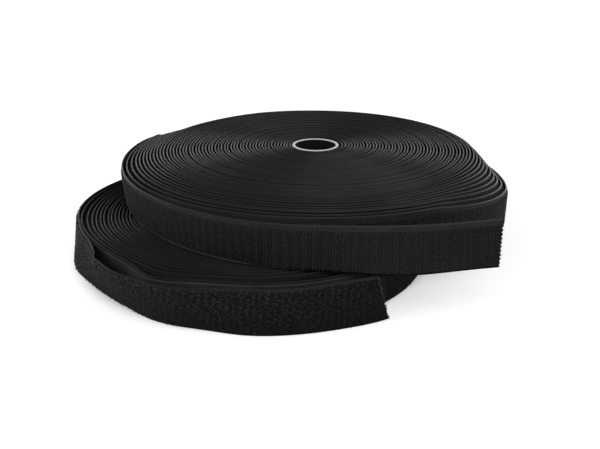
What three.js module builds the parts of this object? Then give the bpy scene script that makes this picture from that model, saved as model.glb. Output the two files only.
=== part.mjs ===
// Two rolls of hook and loop tape as they lie on a table. The loop roll is flat on the table. The hook
// roll rests on it, a little to the right and behind. Its outer turns are loose: they have slipped down
// onto the loop roll, and sag where they overhang it. The free end of each tape runs along the front.
// Millimetres, +Z up. The origin is on the table, under the middle of the pair.

import * as THREE from 'three';

// Tape and cores
const TAPE_WIDTH = 25;
const TAPE_THICKNESS = 1.55;
const TURN_GAP = 0.5;
const CORE_DIAMETER = 30.8;
const CORE_WALL = 2;
const CORE_EDGE_BEVEL = 0.4;
const SEAT_GAP = 0.3;

// Loop roll: tight turns up to the pack radius, then loose ones
const LOOP_PACK_RADIUS = 81.5;
const LOOP_PACK_LOOPS = 11;
const LOOP_LOOSE_TURNS = 10;
const LOOP_END_ANGLE = -165;
const LOOP_LAST_TURN_EASE = 5.5;
const LOOP_EASE_FADE = 1;
const LOOP_DIP_ANGLE = -140;
const LOOP_DIP_SPREAD = 22;
const LOOP_BULGE = 11.5;
const LOOP_BULGE_ANGLE = -56;
const LOOP_BULGE_SPREAD = 46;
const LOOP_SHOULDER = 9;
const LOOP_SHOULDER_ANGLE = -113;
const LOOP_SHOULDER_SPREAD = 9;
const LOOP_BULGE_FADE = 2;

// Loop tail: an arc a little wider than the roll, and its creases. Around one distance along a tail, each
// crease moves the tape's lower and upper edges outwards, or inwards where the number is below zero.
const LOOP_TAIL_LENGTH = 222;
const LOOP_TAIL_EASE = 11;
const LOOP_CREASES = [
  { along: 12, spread: 34, lower: 3.3, upper: -2.2 },
  { along: 32, spread: 18, lower: -2.6, upper: -2.6 },
  { along: 53, spread: 4.5, lower: 0, upper: 1.5 },
  { along: 72, spread: 20, lower: -3.7, upper: 3.8 },
  { along: 105, spread: 20, lower: -0.7, upper: 3.9 },
  { along: 147, spread: 16, lower: -2, upper: -2 },
  { along: 195, spread: 20, lower: 0.1, upper: -2.5 },
];

// Hook roll: where its axis stands beside the loop roll's axis, and its turns
const HOOK_OFFSET_X = 40.2;
const HOOK_OFFSET_Y = 31.8;
const HOOK_PACK_RADIUS = 101;
const HOOK_PACK_LOOPS = 14;
const HOOK_LOOSE_TURNS = 10;
const HOOK_END_ANGLE = -94;
const HOOK_LAST_TURN_EASE = 5.5;
const HOOK_EASE_FADE = 0.5;
const HOOK_BULGE = 3.3;
const HOOK_BULGE_ANGLE = -15;
const HOOK_BULGE_SPREAD = 50;
const HOOK_BULGE_FADE = 1.5;

// How far the loose hook turns have slipped down for each millimetre outwards, and how much further
// they sag where they overhang the loop roll by the full overhang or more
const HOOK_SLIP = 0.24;
const HOOK_SAG = 0.585;
const HOOK_FULL_OVERHANG = 36;

// Hook tail: a long slow bend away from the roll. The last turn's lower edge is drawn in before it, the
// tail's lower edge swings out, and its upper edge drops back.
const HOOK_TAIL_LENGTH = 100;
const HOOK_TAIL_BEND_RADIUS = 440;
const HOOK_CREASES = [
  { along: -110, spread: 80, lower: -2.8, upper: 0 },
  { along: 48, spread: 30, lower: 5.2, upper: 0 },
  { along: 100, spread: 30, lower: 0, upper: -4 },
];

// Counts
const STEPS_PER_LOOP = 24;
const CLIMB_LOOPS = 0.25;
const CORE_SIDES = 48;
const LOOP_TAIL_STEPS = 24;
const HOOK_TAIL_STEPS = 10;

const TURN_PITCH = TAPE_THICKNESS + TURN_GAP;
const CORE_RADIUS = CORE_DIAMETER / 2;
const FACET_SHRINK = Math.cos(Math.PI / STEPS_PER_LOOP);
const START_RADIUS = (CORE_RADIUS + SEAT_GAP) / FACET_SHRINK;

const tapeBlack = { color: 0x1c1c1d, metalness: 0 };
const hookMaterial = new THREE.MeshStandardMaterial({ ...tapeBlack, roughness: 0.6 });
const loopMaterial = new THREE.MeshStandardMaterial({ ...tapeBlack, roughness: 0.95 });
const coreMaterial = new THREE.MeshStandardMaterial({ color: 0x9a9c9d, roughness: 0.5, metalness: 0 });

const radians = THREE.MathUtils.degToRad;

// A smooth hump of height 1 at one angle, fading out on both sides
function hump(angle, middle, spread) {
  const away = Math.atan2(Math.sin(angle - radians(middle)), Math.cos(angle - radians(middle)));
  return Math.exp(-((away / radians(spread)) ** 2));
}

// How far a turn has opened outwards. turnsIn counts turns inwards from the end of the winding, and each
// fade is the number of turns in which an opening shrinks by about two thirds.
function loopOpening(turnsIn, angle) {
  const ease = LOOP_LAST_TURN_EASE * Math.exp(-turnsIn / LOOP_EASE_FADE);
  const bulge = LOOP_BULGE * hump(angle, LOOP_BULGE_ANGLE, LOOP_BULGE_SPREAD);
  const shoulder = LOOP_SHOULDER * hump(angle, LOOP_SHOULDER_ANGLE, LOOP_SHOULDER_SPREAD);
  return ease * (1 - hump(angle, LOOP_DIP_ANGLE, LOOP_DIP_SPREAD))
    + (bulge + shoulder) * Math.exp(-turnsIn / LOOP_BULGE_FADE);
}

function hookOpening(turnsIn, angle) {
  const ease = HOOK_LAST_TURN_EASE * Math.exp(-turnsIn / HOOK_EASE_FADE);
  const bulge = HOOK_BULGE * Math.exp(-turnsIn / HOOK_BULGE_FADE);
  return ease + bulge * hump(angle, HOOK_BULGE_ANGLE, HOOK_BULGE_SPREAD);
}

// The radius of the tape's inner face after so many modelled loops, before any opening. The first loop
// lies on the core and climbs over its own start. Each further loop of the tight pack stands for a few
// turns of tape, and each loose loop is one turn.
function woundRadius(roll, loop) {
  const packLoops = roll.packLoops - 1;
  const packPitch = (roll.packRadius - START_RADIUS - TURN_PITCH) / packLoops;
  const climb = TURN_PITCH * THREE.MathUtils.smoothstep(loop, 1 - CLIMB_LOOPS, 1);
  const pack = packPitch * THREE.MathUtils.clamp(loop - 1, 0, packLoops);
  const loose = TURN_PITCH * Math.max(0, loop - roll.packLoops);
  return START_RADIUS + climb + pack + loose;
}

// How far creased tape is moved outwards at its middle, and how far its upper edge leans out past its
// lower one, by the distance along the tape from the end of its winding
function buckle(creases, along) {
  let lower = 0;
  let upper = 0;
  for (const crease of creases) {
    const share = Math.exp(-(((along - crease.along) / crease.spread) ** 2));
    lower += share * crease.lower;
    upper += share * crease.upper;
  }
  return { shift: (lower + upper) / 2, lean: upper - lower };
}

// One cross-section of tape: its middle in plan, its outward direction, its lower edge and its lean
function section(x, y, outward, bottom, thickness, lean) {
  return { x, y, outX: Math.cos(outward), outY: Math.sin(outward), bottom, thickness, lean };
}

// The sections of a winding from its core outwards, ending with a short straight run
function windingSections(roll) {
  const loops = roll.packLoops + roll.looseTurns;
  const steps = loops * STEPS_PER_LOOP;
  const sections = [];
  for (let step = 0; step <= steps; step += 1) {
    const loop = step / STEPS_PER_LOOP;
    const turnsIn = loops - loop;
    const angle = radians(roll.endAngle) - 2 * Math.PI * turnsIn;
    const thickness = woundRadius(roll, loop + 1) - woundRadius(roll, loop) - TURN_GAP;
    const inner = woundRadius(roll, loop) + roll.opening(turnsIn, angle);
    const { shift, lean } = buckle(roll.creases, -2 * Math.PI * turnsIn * inner);
    const radius = inner + thickness / 2 + shift;
    const x = roll.x + radius * Math.cos(angle);
    const y = roll.y + radius * Math.sin(angle);
    const bottom = roll.bottom - roll.drop(inner, x, y);
    sections.push(section(x, y, angle, bottom, thickness, lean));
  }
  sections.push(runOn(sections[steps], TAPE_THICKNESS));
  return sections;
}

// The section reached by going straight on along the tape
function runOn(from, distance) {
  return { ...from, x: from.x - from.outY * distance, y: from.y + from.outX * distance };
}

// The sections of a tail that goes on from the end of a winding along an arc
function tailSections(end, length, bendRadius, steps, creases) {
  const start = runOn(end, SEAT_GAP);
  const outward = Math.atan2(end.outY, end.outX);
  const centreX = start.x - end.outX * bendRadius;
  const centreY = start.y - end.outY * bendRadius;
  const startShift = buckle(creases, 0).shift;
  const sections = [];
  for (let step = 0; step <= steps; step += 1) {
    const along = length * step / steps;
    const angle = outward + along / bendRadius;
    const { shift, lean } = buckle(creases, along);
    const radius = bendRadius + shift - startShift;
    const x = centreX + radius * Math.cos(angle);
    const y = centreY + radius * Math.sin(angle);
    sections.push(section(x, y, angle, end.bottom, end.thickness, lean));
  }
  return sections;
}

// A corner of a section: side is -1 for the inner face and 1 for the outer one, and top is 0 or 1
function corner(part, side, top) {
  const out = side * part.thickness / 2 + (top - 0.5) * part.lean;
  return new THREE.Vector3(
    part.x + part.outX * out,
    part.y + part.outY * out,
    part.bottom + top * TAPE_WIDTH,
  );
}

function sectionCorners(part) {
  const corners = [corner(part, -1, 0), corner(part, 1, 0), corner(part, 1, 1), corner(part, -1, 1)];
  return corners.flatMap((point) => point.toArray());
}

// A closed band of tape through its sections
function bandGeometry(sections) {
  const sides = 4;
  const positions = sections.flatMap(sectionCorners);
  const index = [];
  for (let at = 0; at < sections.length - 1; at += 1) {
    for (let side = 0; side < sides; side += 1) {
      const near = at * sides + side;
      const nearNext = at * sides + (side + 1) % sides;
      index.push(near, near + sides, nearNext + sides, near, nearNext + sides, nearNext);
    }
  }
  const last = (sections.length - 1) * sides;
  index.push(0, 1, 2, 0, 2, 3);
  index.push(last, last + 2, last + 1, last, last + 3, last + 2);
  const geometry = new THREE.BufferGeometry();
  geometry.setAttribute('position', new THREE.Float32BufferAttribute(positions, 3));
  geometry.setIndex(index);
  geometry.computeVertexNormals();
  return geometry;
}

// The least gap in plan between the outer face of one loop and the inner face of the next, measured at
// the tape's lower and upper edges, on the corners of the outer face and midway between them
function leastTurnGap(sections) {
  const half = STEPS_PER_LOOP / 2;
  let least = Infinity;
  for (const top of [0, 1]) {
    const inner = sections.map((part) => corner(part, -1, top).setZ(0));
    const outer = sections.map((part) => corner(part, 1, top).setZ(0));
    for (let at = 0; at < sections.length - 1; at += 1) {
      const points = [outer[at], outer[at].clone().lerp(outer[at + 1], 0.5)];
      const stop = Math.min(at + 3 * half, sections.length - 1);
      for (let next = at + half; next < stop; next += 1) {
        const line = new THREE.Line3(inner[next], inner[next + 1]);
        for (const point of points) {
          const nearest = line.closestPointToPoint(point, true, new THREE.Vector3());
          least = Math.min(least, nearest.distanceTo(point));
        }
      }
    }
  }
  return least;
}

// A core: a plain tube as tall as the tape is wide, with its rim edges eased
function coreGeometry() {
  const bore = CORE_RADIUS - CORE_WALL;
  const profile = [
    [bore + CORE_EDGE_BEVEL, 0],
    [CORE_RADIUS - CORE_EDGE_BEVEL, 0],
    [CORE_RADIUS, CORE_EDGE_BEVEL],
    [CORE_RADIUS, TAPE_WIDTH - CORE_EDGE_BEVEL],
    [CORE_RADIUS - CORE_EDGE_BEVEL, TAPE_WIDTH],
    [bore + CORE_EDGE_BEVEL, TAPE_WIDTH],
    [bore, TAPE_WIDTH - CORE_EDGE_BEVEL],
    [bore, CORE_EDGE_BEVEL],
    [bore + CORE_EDGE_BEVEL, 0],
  ].map(([radius, height]) => new THREE.Vector2(radius, height));
  return new THREE.LatheGeometry(profile, CORE_SIDES).rotateX(Math.PI / 2);
}

function coreMesh(name, roll) {
  const mesh = new THREE.Mesh(coreGeometry(), coreMaterial);
  mesh.name = name;
  mesh.position.set(roll.x, roll.y, roll.bottom);
  return mesh;
}

function bandMesh(name, sections, material) {
  const mesh = new THREE.Mesh(bandGeometry(sections), material);
  mesh.name = name;
  return mesh;
}

// The loop roll, flat on the table, with its axis at the centre of the working plane
const loopRoll = {
  x: 0,
  y: 0,
  bottom: 0,
  packRadius: LOOP_PACK_RADIUS,
  packLoops: LOOP_PACK_LOOPS,
  looseTurns: LOOP_LOOSE_TURNS,
  endAngle: LOOP_END_ANGLE,
  opening: loopOpening,
  drop: () => 0,
  creases: LOOP_CREASES,
};
const loopWinding = windingSections(loopRoll);
const loopEnd = loopWinding[loopWinding.length - 1];
const loopTailBend = Math.hypot(loopEnd.x, loopEnd.y) + LOOP_TAIL_EASE;
const loopTail = tailSections(loopEnd, LOOP_TAIL_LENGTH, loopTailBend, LOOP_TAIL_STEPS, LOOP_CREASES);

// How far the loop roll and its tail reach from the loop roll's axis
const loopReach = Math.max(
  ...[...loopWinding, ...loopTail].map((part) => Math.hypot(part.x, part.y) + part.thickness),
);

// How far a hook turn has slipped down, and how far it has slipped and sagged together
function hookSlip(innerRadius) {
  return HOOK_SLIP * Math.max(0, innerRadius - HOOK_PACK_RADIUS);
}

function hookDrop(innerRadius, x, y) {
  const overhang = (Math.hypot(x, y) - loopReach - SEAT_GAP) / HOOK_FULL_OVERHANG;
  const sag = HOOK_SAG * THREE.MathUtils.clamp(overhang, 0, 1);
  return hookSlip(innerRadius) + sag * Math.max(0, innerRadius - HOOK_PACK_RADIUS);
}

// The hook roll, raised until the turn that has slipped furthest rests on the loop roll
const hookRoll = {
  x: HOOK_OFFSET_X,
  y: HOOK_OFFSET_Y,
  bottom: 0,
  packRadius: HOOK_PACK_RADIUS,
  packLoops: HOOK_PACK_LOOPS,
  looseTurns: HOOK_LOOSE_TURNS,
  endAngle: HOOK_END_ANGLE,
  opening: hookOpening,
  drop: hookSlip,
  creases: HOOK_CREASES,
};
const hookLowest = Math.min(...windingSections(hookRoll).map((part) => part.bottom));
hookRoll.bottom = TAPE_WIDTH + SEAT_GAP - hookLowest;
hookRoll.drop = hookDrop;
const hookWinding = windingSections(hookRoll);
const hookEnd = hookWinding[hookWinding.length - 1];
const hookTail = tailSections(
  hookEnd,
  HOOK_TAIL_LENGTH,
  HOOK_TAIL_BEND_RADIUS,
  HOOK_TAIL_STEPS,
  HOOK_CREASES,
);

console.log(`loop winding: least gap between turns ${leastTurnGap(loopWinding).toFixed(2)} mm`);
console.log(`hook winding: least gap between turns ${leastTurnGap(hookWinding).toFixed(2)} mm`);

// The pair, moved so that the middle of its box is over the origin
const rolls = new THREE.Group();
rolls.add(
  coreMesh('loop_core', loopRoll),
  bandMesh('loop_winding', loopWinding, loopMaterial),
  bandMesh('loop_tail', loopTail, loopMaterial),
  coreMesh('hook_core', hookRoll),
  bandMesh('hook_winding', hookWinding, hookMaterial),
  bandMesh('hook_tail', hookTail, hookMaterial),
);
const middle = new THREE.Box3().setFromObject(rolls).getCenter(new THREE.Vector3());
rolls.position.set(-middle.x, -middle.y, 0);

const tapeRolls = new THREE.Group();
tapeRolls.add(rolls);
tapeRolls.updateMatrixWorld(true);

export default tapeRolls;
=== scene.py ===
"""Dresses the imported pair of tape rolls: woven tape wound turn by turn, hooks, loop pile and cores.

The loop roll lies on the table and the hook roll lies on it. Both tapes stand on edge and wind outwards
from a small core. Lengths are metres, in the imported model's frame.
"""

import math

import bpy
import numpy as np
from bpy.props import FloatProperty, FloatVectorProperty, IntProperty, PointerProperty
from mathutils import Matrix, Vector


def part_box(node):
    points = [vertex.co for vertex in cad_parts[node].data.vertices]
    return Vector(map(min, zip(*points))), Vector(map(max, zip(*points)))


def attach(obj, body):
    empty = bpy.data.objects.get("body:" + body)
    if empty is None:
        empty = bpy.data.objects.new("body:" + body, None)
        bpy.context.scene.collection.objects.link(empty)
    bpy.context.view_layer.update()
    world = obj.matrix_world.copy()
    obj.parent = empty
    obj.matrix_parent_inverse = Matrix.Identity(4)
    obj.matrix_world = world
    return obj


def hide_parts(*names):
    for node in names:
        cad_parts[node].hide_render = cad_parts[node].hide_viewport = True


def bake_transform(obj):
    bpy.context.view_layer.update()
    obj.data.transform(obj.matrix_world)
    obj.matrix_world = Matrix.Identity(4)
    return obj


bl_info = {
    "name": "Hook and loop tape rolls",
    "version": (1, 0, 0),
    "blender": (4, 5, 0),
    "location": "View3D > Sidebar > Tape rolls",
    "description": "Builds two rolls of fastener tape with their turns, hooks, pile and cores",
    "category": "Object",
}

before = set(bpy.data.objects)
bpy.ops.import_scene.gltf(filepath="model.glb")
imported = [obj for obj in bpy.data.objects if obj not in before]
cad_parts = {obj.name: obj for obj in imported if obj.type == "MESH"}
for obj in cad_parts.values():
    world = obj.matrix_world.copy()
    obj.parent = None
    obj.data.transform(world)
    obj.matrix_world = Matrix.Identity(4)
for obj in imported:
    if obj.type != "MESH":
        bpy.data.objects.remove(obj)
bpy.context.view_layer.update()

MM = 0.001
TURN = 2 * math.pi

# Lengths of the outermost turns
HOOK_LAST_TURN = TURN * 0.121
LOOP_LAST_TURN = TURN * 0.1055

HOOK_BEND = 28 * MM
LOOP_BEND = 45 * MM

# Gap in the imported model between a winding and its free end
END_GAP = 0.3 * MM

# Turns from the free end beyond which a tape is covered, and those that carry single hooks and loops
UNCOVERED_TURNS = 1.3
HOOK_TURNS = 1.02
PILE_TURNS = 1.03

# Spacing of the hooks along the tape
HOOK_SPACING = 1.25 * MM

# Knots of the seeded noise in each turn
NOISE_KNOTS = 3

# Numbers of a tape's faces, in the order of their finishes
BACKING, FACE, EDGE, SELVEDGE, LOW_RIM, PRESSED = range(6)

# Angles in degrees below which neighbouring faces are shaded as one
TAPE_SMOOTH = 49
FIBRE_SMOOTH = 80
CORE_SMOOTH = 40

# Creases of the free ends: distance along the tape, spread along it, and how far its lower and upper edges
# are moved outwards there, in millimetres
LOOP_CREASES = (
    (12, 34, 3.3, -2.2),
    (32, 18, -3.4, -2.6),
    (52, 16, -2.2, 0.0),
    (54.3, 4.5, 0.0, 1.5),
    (73.3, 20, -3.7, 3.8),
    (106.3, 20, -0.7, 3.9),
    (126, 18, -2.2, 0.0),
    (148.3, 16, 0.0, -2.0),
    (196.3, 20, 0.1, -2.5),
    (223, 20, 2.3, 0.0),
)
HOOK_CREASES = (
    (-110, 80, -2.8, 0.0),
    (48, 30, 5.2, 0.0),
    (100, 30, 0.0, -4.0),
)

# Places where loose hook turns have dropped further: angle and spread round the roll in degrees, depth in
# millimetres, and how far outside the tight turns the drop is deepest and how far it spreads from there
HOOK_DROPS = (
    (147, 10, 3.6, 24, 13),
    (134, 15, 2.6, 14, 12),
    (9, 30, 4.8, 16, 9),
    (-20, 12, -1.2, 24, 4),
)

# Shapes of a hook, a loop of pile and a cut fibre: each step's move along the tape and outwards in
# millimetres, its turn in degrees and its size
HOOK_STEPS = (
    (0, 0.5, 10, 0.95),
    (0.07, 0.36, 40, 0.95),
    (0.22, 0.10, 60, 0.95),
    (0.16, -0.20, 40, 0.85),
)
LOOP_STEPS = (
    (0.13, 0.45, 25, 1.0),
    (0.34, 0.26, 50, 1.0),
    (0.36, -0.16, 50, 1.0),
    (0.13, -0.5, 30, 0.9),
)
CUT_FIBRE_STEPS = (
    (0, 0.4, 10, 0.9),
    (0.05, 0.35, 15, 0.8),
    (0.08, 0.25, 10, 0.6),
)

# Camera of the photo, placed from the foot of the hook core's axis, with its tilt in degrees
CAMERA_LENS = 41.506
CAMERA_SENSOR = 36
CAMERA_NEAR = 0.01
CAMERA_PLACE = (-0.010253, -0.44456, 0.14747)
CAMERA_TILT = 67.99

# Soft lights: name, place, side, power and whether they are reflected, all aimed at one place
SOFTBOXES = (
    ("softbox_left", (-1.0, -0.35, 0.35), 0.8, 9.5, False),
    ("softbox_right", (1.0, -0.3, 0.95), 0.8, 5.0, True),
    ("softbox_overhead", (0.25, -0.35, 1.1), 1.0, 3.0, False),
    ("softbox_front", (0.1, -1.0, 1.1), 0.9, 4.0, True),
)
SOFTBOX_AIM = (0, 0, 0.03)


# Settings


def length(name, description, millimetres):
    """A length property given in millimetres."""
    size = millimetres * MM
    return FloatProperty(name=name, description=description, default=size, unit="LENGTH", precision=5)


def angle(name, description, degrees):
    """An angle property given in degrees."""
    return FloatProperty(name=name, description=description, default=math.radians(degrees), unit="ROTATION")


def place(name, description, *degrees):
    """A middle angle round a roll and a spread about it, given in degrees."""
    pair = [math.radians(value) for value in degrees]
    return FloatVectorProperty(name=name, description=description, default=pair, size=2, unit="ROTATION")


def ratio(name, description, value):
    """A plain number."""
    return FloatProperty(name=name, description=description, default=value)


def colour(name, description, *value):
    """A linear colour."""
    return FloatVectorProperty(
        name=name, description=description, default=value, size=3, min=0, max=1, subtype="COLOR"
    )


class TapeSettings(bpy.types.PropertyGroup):
    """What both tapes share."""

    width: length("Width", "Width of the tape, which stands on edge", 25)
    backing: length("Backing", "Thickness of the woven backing", 0.85)
    body: length("Body", "Thickness of the tape with its hooks or pile pressed down", 1.45)
    whole: length("Whole", "Thickness of the tape in the packed model", 1.55)
    pitch: length("Turn pitch", "Radial room that one turn takes", 2.05)
    start_radius: length("Start radius", "Radius at which the first turn lies on the core", 15.75)
    hook_selvedge: length("Hook selvedge", "Plain strip along the upper edge of the hook tape", 3.1)
    loop_selvedge: length("Loop selvedge", "Plain strip along each edge of the loop tape", 1.1)
    edge_ease: length("Edge ease", "How far the lower edges of the backing are eased", 0.22)
    wander: length("Wander", "How far a turn strays from an even spiral", 0.18)
    rise: length("Rise", "How far a turn's edge strays up and down", 0.5)
    steps: IntProperty(name="Steps", description="Cross-sections in one turn", default=112, min=24)


class LoopRollSettings(bpy.types.PropertyGroup):
    """The lower roll's turns and its free end."""

    pack_radius: length("Pack radius", "Radius where the tight turns end", 81.5)
    loose_turns: IntProperty(name="Loose turns", description="Turns outside the tight ones", default=10)
    end_angle: angle("End angle", "Where the free end leaves the roll", -165)
    ease: length("Ease", "How far the last turn has opened", 5.5)
    ease_fade: ratio("Ease fade", "Turns in which the opening shrinks by two thirds", 1.0)
    dip_place: place("Dip place", "Where the last turn is still pressed in, and how wide", -140, 22)
    bulge: length("Bulge", "How far the last turns swing out at the front", 11.5)
    bulge_place: place("Bulge place", "Where the last turns swing out, and how wide", -56, 46)
    shoulder: length("Shoulder", "How far the last turns stand out where the swing begins", 9)
    shoulder_place: place("Shoulder place", "Where the swing begins, and how wide", -113, 9)
    bulge_fade: ratio("Bulge fade", "Turns in which the swing shrinks by two thirds", 2.0)
    corner: length("Corner", "How far the last turns stand out at the left", 3.0)
    corner_place: place("Corner place", "Where they stand out, and how wide", 160, 40)
    follow: length("Follow", "How far the turns under the last one have opened with it at the left", 3.8)
    follow_place: place("Follow place", "Where they have opened, and how wide", 165, 45)
    follow_fade: ratio("Follow fade", "Turns in which that shrinks by two thirds", 9.0)
    tail_ease: length("Tail ease", "How much wider than the roll the free end bends", 9.6)
    tail_length: length("Tail length", "Length of the free end", 222)


class HookRollSettings(bpy.types.PropertyGroup):
    """The upper roll's turns and its free end."""

    pack_radius: length("Pack radius", "Radius where the tight turns end", 101)
    loose_turns: IntProperty(name="Loose turns", description="Turns outside the tight ones", default=10)
    end_angle: angle("End angle", "Where the free end leaves the roll", -94)
    ease: length("Ease", "How far the last turn has opened", 5.5)
    ease_fade: ratio("Ease fade", "Turns in which the opening shrinks by two thirds", 0.5)
    bulge: length("Bulge", "How far the last turns swing out at the right", 2.75)
    bulge_place: place("Bulge place", "Where the last turns swing out, and how wide", -15, 50)
    bulge_fade: ratio("Bulge fade", "Turns in which the swing shrinks by two thirds", 4.0)
    right_follow: length("Right follow", "How much more the turns under the last one swing out", 0.8)
    follow: length("Follow", "How far the turns under the last one have opened with it at the left", 2.8)
    follow_place: place("Follow place", "Where they have opened, and how wide", -155, 40)
    follow_fade: ratio("Follow fade", "Turns in which both of these shrink by two thirds", 3.0)
    slip: ratio("Slip", "How far loose turns have slipped down for each length outwards", 0.24)
    sag: ratio("Sag", "How much further they sag where nothing is under them", 0.585)
    full_overhang: length("Full overhang", "Overhang at which the sag is full", 36)
    tail_length: length("Tail length", "Length of the free end", 100)
    tail_bend: length("Tail bend", "Radius of the free end's slow bend", 440)


class FinishSettings(bpy.types.PropertyGroup):
    """Colours of the finishes."""

    backing: colour("Backing", "Black woven nylon backing", 0.008, 0.008, 0.0088)
    selvedge: colour("Selvedge", "Plain strips along the edges of the tape", 0.039, 0.039, 0.0425)
    # Pale lower rim of the hook winding: a painted highlight along that rim
    worn: colour("Worn rim", "Lower rim of the hook tape, rubbed pale", 0.075, 0.075, 0.078)
    hook_edge: colour("Hook edge", "Edges of the hook tape", 0.0133, 0.0133, 0.0145)
    loop_edge: colour("Loop edge", "Edges of the loop tape", 0.014, 0.014, 0.0153)
    hook: colour("Hooks", "Black nylon hooks", 0.042, 0.042, 0.0455)
    hook_ground: colour("Hook ground", "Ground between the hooks", 0.0105, 0.0105, 0.0115)
    pile: colour("Pile", "Black brushed loop pile", 0.056, 0.056, 0.0605)
    pile_ground: colour("Pile ground", "Ground under the pile", 0.007, 0.007, 0.0078)
    pressed: colour("Pressed pile", "Pile pressed flat behind the free end", 0.046, 0.046, 0.05)
    # Lower rim of the free ends: painted shade along their lower edges
    low_rim: colour("Low rim", "Lower rim of the free ends", 0.006, 0.006, 0.0066)
    fray: colour("Frayed ends", "Cut fibre ends that catch the light", 0.10, 0.10, 0.105)
    core_rim: colour("Core rim", "Pale cut rim of the core", 0.50, 0.50, 0.51)
    core_wall: colour("Core wall", "Dark wall of the core", 0.008, 0.008, 0.0088)
    floor: colour("Floor", "Plain pale floor", 0.62, 0.62, 0.62)


class TapeRollSettings(bpy.types.PropertyGroup):
    """All settings of the pair."""

    tape: PointerProperty(type=TapeSettings)
    loop: PointerProperty(type=LoopRollSettings)
    hook: PointerProperty(type=HookRollSettings)
    finish: PointerProperty(type=FinishSettings)


def settings():
    return bpy.context.scene.tape_rolls


# Paths of the two tapes


class Path:
    """Cross-sections along a tape: inner face in plan, outward direction, lower edge, lean and distance."""

    def __init__(self, x, y, heading, bottom, lean, along):
        self.x = x
        self.y = y
        self.heading = heading
        self.bottom = bottom
        self.lean = lean
        self.along = along

    def values(self):
        return self.x, self.y, self.heading, self.bottom, self.lean, self.along

    def at(self, along, height, out):
        """Points on the tape by distance along it, height above its lower edge and distance outwards."""
        x, y, heading, bottom, lean, _ = [np.interp(along, self.along, value) for value in self.values()]
        reach = out + (height / settings().tape.width - 0.5) * lean
        return np.stack([x + np.cos(heading) * reach, y + np.sin(heading) * reach, bottom + height], -1)

    def axes(self, along):
        """Unit directions along the tape, up across it and outwards."""
        heading = np.interp(along, self.along, self.heading)
        lean = np.interp(along, self.along, self.lean) / settings().tape.width
        flat = np.zeros_like(heading)
        forward = np.stack([-np.sin(heading), np.cos(heading), flat], -1)
        up = np.stack([np.cos(heading) * lean, np.sin(heading) * lean, flat + 1], -1)
        up /= np.linalg.norm(up, axis=-1, keepdims=True)
        return forward, up, np.cross(forward, up)

    def part(self, start, end, step):
        """The same path between two distances, with even steps."""
        count = max(2, int(round((end - start) / step)) + 1)
        along = np.linspace(start, end, count)
        return Path(*[np.interp(along, self.along, value) for value in self.values()[:-1]], along)

    def winding(self):
        """The wound part alone, with one last section where the free end starts."""
        wound = self.along <= 1e-9
        whole = settings().tape.whole
        last = self.part(0, whole, whole)
        return Path(*[np.append(own[wound], end[-1]) for own, end in zip(self.values(), last.values())])

    def flat_size(self):
        """Width and length of the tape laid flat."""
        return settings().tape.width, float(self.along[-1] - self.along[0])


def hump(turned, middle, spread):
    """A smooth hump of height 1 about a middle angle round a roll."""
    away = np.arctan2(np.sin(turned - middle), np.cos(turned - middle))
    return np.exp(-((away / spread) ** 2))


def ramp(value, start, over):
    """A rise from 0 to 1 that begins at start and takes that much."""
    return np.clip((value - start) / over, 0, 1)


def smooth_noise(seed, count, knots):
    """Smooth seeded noise between -1 and 1 with that many knots along it."""
    random = np.random.default_rng(seed)
    values = random.uniform(-1, 1, knots + 3)
    place = np.linspace(0, knots, count)
    left = np.minimum(place.astype(int), knots)
    t = place - left
    ease = t * t * (3 - 2 * t)
    return values[left] * (1 - ease) + values[left + 1] * ease


def axis_of(core):
    """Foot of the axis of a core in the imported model."""
    low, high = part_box(core)
    return (low.x + high.x) / 2, (low.y + high.y) / 2, low.z


def buckle(creases, along):
    """How far creased tape is moved outwards at its middle, and how far its upper edge leans out."""
    lower = np.zeros_like(along)
    upper = np.zeros_like(along)
    for place, spread, low, high in creases:
        share = np.exp(-(((along - place * MM) / (spread * MM)) ** 2))
        lower = lower + share * low * MM
        upper = upper + share * high * MM
    return (lower + upper) / 2, upper - lower


def loop_opening(turns_in, turned):
    """How far each loop turn has opened from an even spiral."""
    loop = settings().loop
    ease = loop.ease * np.exp(-turns_in / loop.ease_fade)
    bulge = loop.bulge * hump(turned, *loop.bulge_place)
    shoulder = loop.shoulder * hump(turned, *loop.shoulder_place)
    dip = hump(turned, *loop.dip_place)
    corner = loop.corner * hump(turned, *loop.corner_place)
    under = ramp(turns_in, start=0.3, over=0.9) * np.exp(-(turns_in - 1) / loop.follow_fade)
    follow = loop.follow * under * hump(turned, *loop.follow_place)
    return ease * (1 - dip) + (bulge + shoulder + corner) * np.exp(-turns_in / loop.bulge_fade) + follow


def hook_opening(turns_in, turned):
    """How far each hook turn has opened from an even spiral."""
    hook = settings().hook
    ease = hook.ease * np.exp(-turns_in / hook.ease_fade)
    bulge = hook.bulge * np.exp(-turns_in / hook.bulge_fade)
    fade = np.exp(-(turns_in - 1) / hook.follow_fade)
    left = hook.follow * ramp(turns_in, start=0.6, over=0.3) * fade
    right = hook.right_follow * ramp(turns_in, start=1, over=0.5) * fade
    left_share = hump(turned, *hook.follow_place)
    return ease + (bulge + right) * hump(turned, *hook.bulge_place) + left * left_share


def loop_drop(inner, turned, x, y):
    """Loop turns lie on the table, so they don't drop."""
    return 0


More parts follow.
